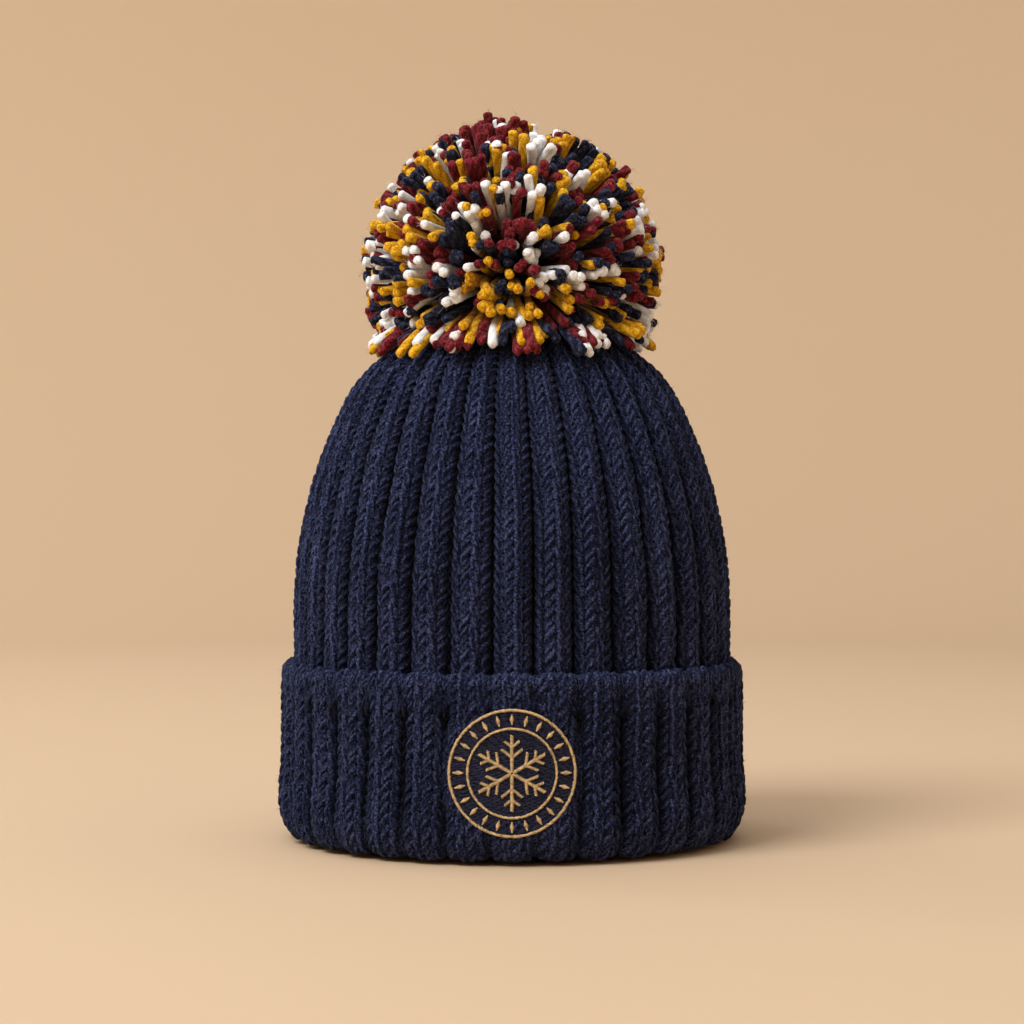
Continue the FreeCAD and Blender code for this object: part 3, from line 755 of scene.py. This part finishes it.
def pom_reach(aim, own, dice):
    """Length of each strand: uneven, longer where it hangs in front, and short where the crown is."""
    reach = POM_RADIUS + 1 - np.abs(dice.normal(0, CLUMP_TRIM, CLUMPS))[own]
    reach = reach - np.abs(dice.normal(0, STRAND_TRIM, STRANDS))
    reach = reach - dice.uniform(5, 12, STRANDS) * (dice.random(STRANDS) < SHORT)
    reach = reach + dice.uniform(1, 4, STRANDS) * (dice.random(STRANDS) < LONG)
    reach = np.minimum(reach, POM_RADIUS + 1.5)
    hang = dice.uniform(0.3, 1, CLUMPS)[own] * (4 - 12 * aim[:, 1]).clip(0, 14)
    reach = reach + hang * smooth(-aim[:, 2], 0.35, 0.55) - 12 * smooth(-aim[:, 2], 0.68, 0.84)
    return np.where(aim[:, 2] < HIDDEN, np.minimum(reach, reach_above_crown(aim)), reach)


def make_pom():
    """Cut yarn strands in clumps, each clump one colour with its own length and lean."""
    dice = rng(28)
    aim = sphere_points(STRANDS, seed=22)
    clumps = sphere_points(CLUMPS, seed=23)
    clumps = unit(clumps + dice.normal(0, 0.03, clumps.shape))
    own = np.argmax(aim @ clumps.T, axis=1)
    chances = [chance for _, chance in COLOURS.values()]
    colour = mixed_colours(clumps, chances, dice)[own]
    stray = dice.random(STRANDS) < STRAYS
    colour[stray] = dice.choice(len(COLOURS), stray.sum(), p=chances)
    aim = unit(aim + GATHER * (clumps[own] - aim))
    tuft = aim @ TUFT > TUFT_EDGE
    reach = pom_reach(aim, own, dice) + 1.5 * tuft
    colour[tuft] = list(COLOURS).index("burgundy")
    lean = unit(np.cross(clumps[own], dice.normal(0, 1, (CLUMPS, 3))[own]))
    bend = np.abs(dice.normal(0, 4.0, CLUMPS))[own] + np.abs(dice.normal(0, 1.2, STRANDS))
    hook = dice.normal(0, 1, (STRANDS, 3))
    hook = unit(hook - (hook * aim).sum(1, keepdims=True) * aim)
    hooked = dice.random(STRANDS) < HOOKED
    curl = np.where(hooked, dice.uniform(3, 9, STRANDS), dice.uniform(0, 2, STRANDS))
    run = 1 - (1 - np.linspace(0, 1, POINTS)) ** 1.25
    distance = ROOT + (reach[:, None] - ROOT) * run
    path = POM_CENTRE + aim[:, None] * distance[..., None]
    path = path + lean[:, None] * (bend[:, None] * run**2)[..., None]
    path = path + hook[:, None] * (curl[:, None] * run**5)[..., None]
    radius = STRAND * (0.42 + 0.62 * run**0.8)[None] * dice.uniform(0.88, 1.1, (STRANDS, 1))
    tip = path[:, -1:] + unit(path[:, -1:] - path[:, -2:-1]) * TIP_REACH[None, :, None]
    path = np.concatenate([path, tip], axis=1)
    radius = np.concatenate([radius, radius[:, -1:] * TIP_WIDTH[None]], axis=1)
    path = clear_of_crown(path, radius + CROWN_GAP + dice.uniform(0, 3, (STRANDS, 1)))
    # painted shade: strands are painted darker towards the pom's middle, deep among the others
    deep = np.linalg.norm(path - POM_CENTRE, axis=-1) / POM_RADIUS
    painted_shade = 0.4 + 0.6 * smooth(deep, 0.48, 0.78)
    side = unit(np.cross(aim, hook))[:, None] + 0 * path
    ends = slice(POINTS // 2, POINTS + 2)
    for number, (name, (material, _)) in enumerate(COLOURS.items()):
        chosen = colour == number
        kind = ("pom", f"pom_strands_{name}", f"yarn_{name}", material)
        piece = sweep(f"pom_{name}", path[chosen], side[chosen], radius[chosen], 9, lobes=PLIES,
                      lobe=0.06, twist=TWIST, painted_shade=painted_shade[chosen])
        finish_piece(piece, *kind)
        out = aim[chosen][:, None] + 0.8 * side[chosen][:, ends]
        hairs(f"pom_fuzz_{name}", path[chosen][:, ends], out, radius[chosen][:, ends], 4600, POM_HAIR,
              61 + number, *kind)


def make_pom_core():
    """Packed middle of the strands: a lumpy ball, seen only in the gaps between them, in near-black wool as
    painted shade.
    """
    rings, turns, gap = 60, 110, 7.5
    level = np.linspace(-0.5 * math.pi, 0.5 * math.pi, rings)[:, None]
    angle = circuit(turns)[None]
    lumps = Waves(31, turns=30, length=6, count=40)
    radius = CORE_RADIUS + 0.9 * lumps(angle, level * CORE_RADIUS)
    ball = lathe(radius * np.cos(level), radius * np.sin(level), angle + 0 * level)
    ball = clear_of_crown(ball + POM_CENTRE, np.full(radius.shape, gap))
    index, _, quads = grid(rings, turns)
    caps = np.stack([index[0, ::-1], index[-1]])
    piece = write_mesh("pom_heart", ball, quads, caps)
    shade(piece, np.ones(ball[..., 0].size))
    finish_piece(piece, "pom", "pom_core", "yarn_navy", HEART_SHADE_WOOL)


make_pom()
make_pom_core()


# -------- crest


def on_cuff(across, height, lift):
    """Point on the cuff's front from its place in the crest's face."""
    return lathe(CUFF_RADIUS + lift, CREST_HEIGHT + height, FRONT + np.arcsin(across / CUFF_RADIUS))


def threads(name, starts, ends, node, slot, material, arch, base, thick=0.23):
    """Stitches of embroidery thread, each arching from a start to an end in the crest's face."""
    t = np.linspace(0, 1, 6)[None]
    across = starts[:, :1] + (ends - starts)[:, :1] * t
    height = starts[:, 1:] + (ends - starts)[:, 1:] * t
    rise = np.sin(math.pi * t) ** 0.6
    path = on_cuff(across, height, base + arch * rise)
    radius = thick * (0.55 + 0.45 * rise) + 0 * across
    piece = sweep(name, path, np.array([0, -1, 0]), radius, 6, lobes=2, lobe=0.06, twist=0.6)
    finish_piece(piece, "hat", node, slot, material)


def satin_ring(radius, width, pitch, lean):
    """Short slanting stitches side by side round a circle."""
    count = int(TAU * radius / pitch)
    angle = TAU * np.arange(count) / count
    dice = rng(int(radius * 10))
    half = width / 2 * (1 + dice.normal(0, 0.12, count))
    radius = radius + dice.normal(0, 0.05, count)
    ends = []
    for way in (-1, 1):
        slant = angle + way * lean
        ends.append((radius + way * half)[:, None] * np.stack([np.cos(slant), np.sin(slant)], axis=1))
    return ends


def satin_bar(start, end, width, pitch=0.46):
    """Slanting stitches side by side along a straight bar."""
    length = np.linalg.norm(end - start)
    way = (end - start) / length
    normal = np.array([-way[1], way[0]])
    count = max(2, int(length / pitch))
    spots = start + way * (np.linspace(0, length, count)[:, None])
    lean = way * width * 0.22
    return spots - normal * width / 2 - lean, spots + normal * width / 2 + lean


def polar(radius, angle):
    return np.array([radius * math.cos(angle), radius * math.sin(angle)])


def lozenge(angle, start=18.0, end=21.6, width=1.7):
    """Small diamond of side by side stitches, pointing at the crest's centre."""
    along = np.linspace(0, 1, 10)[:, None]
    half = width / 2 * (0.2 + 0.8 * (1 - np.abs(2 * along - 1)))
    way = polar(1, angle)
    across = np.array([-way[1], way[0]])
    spots = way * (start + (end - start) * along)
    return spots - across * half, spots + across * half


def snowflake():
    """Bars of the six-armed motif as (start, end, width)."""
    bars = []
    for arm in range(6):
        way = math.radians(30 + 60 * arm)
        bars.append((polar(0.6, way), polar(MOTIF_REACH, way), 1.35))
        for share, length in ((0.42, 0.34), (0.70, 0.24)):
            joint = polar(MOTIF_REACH * share, way)
            for lean in (-1, 1):
                tip = joint + polar(MOTIF_REACH * length, way + lean * math.radians(52))
                bars.append((joint, tip, 1.1))
    return bars


def make_crest():
    """Filled navy ground, a border of two stitched rings with lozenges between them, and a snowflake."""
    dice = rng(41)
    ground, pitch, stitch = CREST_RADIUS - 0.4, 0.72, 3.4
    starts, ends = [], []
    for number, height in enumerate(np.arange(-ground + 0.3, ground - 0.2, pitch)):
        reach = math.sqrt(ground**2 - height**2)
        cuts = np.arange(-reach - stitch * ((number * 0.38) % 1), reach, stitch)[1:]
        cuts = np.concatenate([[-reach], cuts[np.abs(cuts) < reach - 0.8], [reach]])
        for left, right in zip(cuts, cuts[1:]):
            wobble = dice.normal(0, 0.13, 2)
            starts.append((left, height + wobble[0]))
            ends.append((right, height + wobble[1]))
    threads("crest_fill", np.array(starts), np.array(ends), "crest_ground", "crest_fill_thread", NAVY_THREAD,
            arch=0.22, base=-0.35, thick=0.50)
    rings = [satin_ring(CREST_RADIUS - 0.6, 1.0, 0.50, 0.020), satin_ring(INNER_RING, 0.85, 0.48, 0.026)]
    rings += [lozenge(TAU * number / MARKS) for number in range(MARKS)]
    starts, ends = [np.vstack(part) for part in zip(*rings)]
    threads("crest_border", starts, ends, "crest_ring", "gold_thread", GOLD_THREAD, arch=0.38, base=0.25)
    bars = [satin_bar(*bar) for bar in snowflake()]
    starts, ends = [np.vstack(part) for part in zip(*bars)]
    threads("crest_snowflake", starts, ends, "crest_motif", "gold_thread", GOLD_THREAD, arch=0.42, base=0.25)


def make_crest_backing():
    """Thin stabiliser disc behind the embroidery, inside the cuff."""
    rings, turns, edge_radius = 12, 72, CREST_RADIUS + 1.4
    radius = np.linspace(0.02, 1, rings)[:, None] * edge_radius
    angle = circuit(turns)[None]
    lift = CROWN_RADIUS + 1.6 - CUFF_RADIUS
    faces = [on_cuff(radius * np.cos(angle), radius * np.sin(angle), lift - depth) for depth in (0.0, 0.35)]
    index, after, quads = grid(rings, turns)
    front = quads[..., [0, 3, 2, 1]].reshape(-1, 4)
    back = front[:, ::-1] + rings * turns
    edge = np.stack([index[-1], index[-1] + rings * turns, after[-1] + rings * turns, after[-1]], axis=-1)
    caps = np.stack([index[0, ::-1], index[0] + rings * turns])
    piece = write_mesh("crest_stabiliser", np.concatenate(faces), np.concatenate([front, back, edge]), caps)
    finish_piece(piece, "hat", "crest_backing", "backing_felt", FELT)


make_crest()


# -------- hidden layers, cords and label


def ribbed_shell(name, inner, outer, ribs, relief, node, slot, step, points):
    """Closed knitted layer between two outlines that face inwards, with its ribs on the inner face."""
    turns, rows, stitch_height = ribs * points, int(inner.length / step), 3.0
    angle = circuit(turns)[None]
    faces = []
    for outline, wave in ((inner, relief), (outer, 0.0)):
        along = np.linspace(0, outline.length, rows)[:, None]
        radius, height, out_r, out_z = outline.place(along)
        fade = np.clip(radius / 40, 0, 1)
        lift = wave * fade * (np.abs(np.cos(angle * ribs / 2)) ** 0.7 - 1)
        faces.append(lathe(radius + out_r * lift, height + out_z * lift, angle + 0 * along))
    index, after, sheet = grid(rows, turns)
    second = rows * turns
    low_edge = np.stack([index[0], index[0] + second, after[0] + second, after[0]], axis=-1)
    top_edge = np.stack([after[-1], after[-1] + second, index[-1] + second, index[-1]], axis=-1)
    sheet = sheet.reshape(-1, 4)
    quads = np.concatenate([sheet[:, ::-1], sheet + second, low_edge, top_edge])
    column = np.tile(np.arange(turns), rows)
    run = np.repeat(np.linspace(0, inner.length, rows), turns)
    place = np.stack([column * ribs * 2 / turns, run / stitch_height], axis=1)
    uv = np.concatenate([place, place])[quads]
    wrap = (uv[..., 0].max(1) - uv[..., 0].min(1)) > ribs
    uv[wrap] = np.where(uv[wrap][..., :1] < ribs, uv[wrap] + [2 * ribs, 0], uv[wrap])
    piece = write_mesh(name, np.concatenate(faces), quads, uv=uv)
    finish_piece(piece, "hat", node, slot, LINING_KNIT)


def make_hidden_layers():
    """The lining, and the inner side of the cuff."""
    bottom, inset = low("crown_lining")[2], CROWN_RADIUS - LINING_RADIUS
    inner, outer = [crown_outline(inset + depth, bottom, side=-1) for depth in (2.5, 1.5)]
    ribbed_shell("lining_knit", inner, outer, 60, 0.9, "crown_lining", "knit_lining", 2.8, 6)
    heights = np.arange(low("cuff_inner")[2], high("cuff_inner")[2] - 12, 1.0)
    inner, outer = [Profile([(CROWN_RADIUS + lift, z) for z in heights], side=-1) for lift in (0, 0.8)]
    ribbed_shell("cuff_inner_knit", inner, outer, RIBS, 0.6, "cuff_inner", "knit_navy", 3.0, 10)


def cord(name, paths, thick, body, node, slot, closed=False, sides=12):
    """Twisted cord along each path."""
    path = np.array(paths, float)
    side = np.array([0.31, 0.52, 0.8])
    even = np.ones(path.shape[:2])
    piece = sweep(name, path, side, thick * even, sides, closed, PLIES, 0.12, twist=0.25, painted_shade=even)
    return finish_piece(piece, body, node, slot, CORD_WOOL)


def circle(radius, height, points, waver=0.0, waves=0):
    """Ring round the hat's axis, straight or wavering."""
    angle = circuit(points)
    return lathe(radius + waver * np.sin(waves * angle), height + waver * np.cos(waves * angle), angle)


def upright_pair(node, points):
    """Two lengths of cord side by side up a node."""
    spread = high(node)[0] - 1.0
    heights = np.linspace(low(node)[2], high(node)[2], points)
    return [[(side * spread, 0.12 * math.sin(z * 2), z) for z in heights] for side in (-1, 1)]


def make_cords():
    """The seam's chain, the drawn-up yarns, and the pom's tie from its knot to its binding."""
    tie = 0.98  # radius of the tie
    chain = circle(high("lining_seam")[0] - 0.8, middle("lining_seam")[2], 420, 0.35, 70)
    cord("lining_seam_chain", [chain], 0.75, "hat", "lining_seam", "knit_navy", True)
    for node in ("crown_gather_yarn", "lining_gather_yarn"):
        drawn = circle(high(node)[0] - 0.9, middle(node)[2], 120, 0.3, 9)
        cord(f"{node}_twist", [drawn], 0.8, "hat", node, "tie_cord", True)
    for node, body, points in (("tie_tails", "hat", 14), ("tie_neck", "neck", 8)):
        cord(f"{node}_cord", upright_pair(node, points), tie, body, node, "tie_cord")
    wraps = circle(high("tie_collar")[0] - 0.9, middle("tie_collar")[2], 60)
    cord("tie_collar_wrap", [wraps], 0.88, "collar", "tie_collar", "tie_cord", True)
    t = circuit(90)
    loop = np.stack([np.sin(t) + 2 * np.sin(2 * t), np.cos(t) - 2 * np.cos(2 * t),
                     -1.25 * np.sin(3 * t)], axis=1)
    cord("tie_knot_twist", [loop * 0.92 + middle("tie_knot")], 0.95, "hat", "tie_knot", "tie_cord", True)
    top, base = high("pom_binding"), low("pom_binding")
    reach = top[0] - 1.0
    turn = np.linspace(0, math.pi, 16)
    legs = np.linspace(base[2], top[2] - top[0], 12)
    path = ([(reach, 0, z) for z in legs[:-1]]
            + [(reach * math.cos(a), 0, legs[-1] + reach * math.sin(a)) for a in turn]
            + [(-reach, 0, z) for z in legs[-2::-1]])
    cord("pom_binding_cord", [path], tie, "pom", "pom_binding", "tie_cord")


def make_label():
    """Blank satin label, folded at the bottom, and the stitches along its sewn top."""
    corner, far = low("care_label"), high("care_label")
    leaf = 0.36
    centre = (corner[1] + far[1]) / 2
    half = (far[1] - corner[1]) / 2 - leaf / 2
    fold = corner[2] + half + leaf / 2
    drop = np.linspace(far[2], fold, 26)
    turn = np.linspace(0, math.pi, 9)[1:-1]
    line = np.array([(centre - half, z) for z in drop]
                    + [(centre - half * math.cos(a), fold - half * math.sin(a)) for a in turn]
                    + [(centre + half, z) for z in drop[::-1]])
    slope = unit(np.gradient(line, axis=0))
    normal = np.stack([slope[:, 1], -slope[:, 0]], axis=1)
    columns = np.linspace(corner[0], far[0], 22)
    weave = 0.03 * np.sin(columns * 2.2)[None]
    faces = []
    for way in (-1, 1):
        edge = line + normal * way * leaf / 2
        faces.append(np.stack([columns[None] + 0 * edge[:, :1], edge[:, :1] + weave,
                               edge[:, 1:] + 0 * weave], axis=-1))
    rows, wide = len(line), len(columns)
    count = rows * wide
    index = np.arange(count).reshape(rows, wide)
    face = np.stack([index[:-1, :-1], index[:-1, 1:], index[1:, 1:], index[1:, :-1]], axis=-1).reshape(-1, 4)
    border = np.concatenate([index[0], index[1:, -1], index[-1, -2::-1], index[-2:0:-1, 0]])
    after = np.roll(border, -1)
    edge = np.stack([after, border, border + count, after + count], axis=-1)
    quads = np.concatenate([face, face[:, ::-1] + count, edge])
    piece = write_mesh("label_satin_loop", np.concatenate(faces), quads)
    finish_piece(piece, "label", "care_label", "label_satin", SATIN)
    stitches = 9
    t = np.linspace(0, 1, 8)
    paths = []
    for number in range(stitches):
        x = corner[0] + (number + 0.5) * (far[0] - corner[0]) / stitches
        paths.append(np.stack([x + 0.9 * (t - 0.5), far[1] + 0.3 + 1.1 * np.sin(math.pi * t) ** 0.5,
                               far[2] - 0.5 + 0.3 * t], axis=1))
    piece = cord("label_thread", paths, 0.16, "hat", "label_stitches", "label_thread", sides=6)
    piece.data.materials[0] = NAVY_THREAD


make_hidden_layers()
make_crest_backing()
make_cords()
make_label()


# -------- floor, light and camera


def make_stage():
    """Plain pale floor, in metres, that curves up into a backdrop all round."""
    flat, bend, wall, turns = 1.5, 0.9, 2.0, 96
    rise = np.linspace(0.1, math.pi / 2, 14)
    curve = np.stack([flat + bend * np.sin(rise), bend - bend * np.cos(rise)], axis=1)
    outline = np.vstack([[(0.02, 0.0), (0.4, 0.0), (1.0, 0.0), (flat, 0.0)], curve, [(flat + bend, wall)]])
    angle = circuit(turns)[None]
    points = lathe(outline[:, :1], outline[:, 1:], angle + 0 * outline[:, :1]) / MM
    index, _, quads = grid(len(outline), turns)
    floor = write_mesh("floor", points, quads[..., [1, 2, 3, 0]], index[:1])
    n = Nodes("pale_floor")
    n.shader.inputs["Base Color"].default_value = (0.545, 0.410, 0.278, 1)
    n.shader.inputs["Roughness"].default_value = 0.8
    floor.data.materials.append(n.material)


def area_light(name, place, target, size, power, colour=(1, 1, 1)):
    light = bpy.data.lights.new(name, "AREA")
    light.shape = "DISK"
    light.size = size
    light.energy = power
    light.color = colour
    lamp = add_object(name, light)
    lamp.location = place
    lamp.rotation_euler = (Vector(target) - Vector(place)).to_track_quat("-Z", "Y").to_euler()


def make_lights():
    hat = (0, 0, 0.14)
    area_light("key", (-1.35, -1.25, 2.2), hat, 1.5, 66, (1.0, 0.99, 0.97))
    area_light("top", (-0.3, 0, 2.6), hat, 2.6, 16)
    area_light("wall", (-1.1, 0.9, 1.5), (0.1, 2.3, 0.3), 0.8, 6)
    world = bpy.data.worlds.new("studio")
    world.use_nodes = True
    background = world.node_tree.nodes["Background"]
    background.inputs["Color"].default_value = (0.93, 0.91, 0.88, 1)
    background.inputs["Strength"].default_value = 0.66
    bpy.context.scene.world = world
    bpy.context.scene.view_settings.view_transform = "Standard"


CAMERA_HEIGHT = 0.131  # in metres, as is the width of the view at the hat's axis
CAMERA_DISTANCE = 1.0
VIEW_WIDTH = 0.4147
SENSOR = 36.0


def make_camera():
    camera = bpy.data.cameras.new("camera")
    camera.sensor_width = SENSOR
    camera.lens = SENSOR * CAMERA_DISTANCE / VIEW_WIDTH
    camera.clip_start = 0.01
    holder = add_object("camera", camera)
    holder.location = (0, -CAMERA_DISTANCE, CAMERA_HEIGHT)
    holder.rotation_euler = (math.pi / 2, 0, 0)
    bpy.context.scene.camera = holder


make_stage()
make_lights()
make_camera()
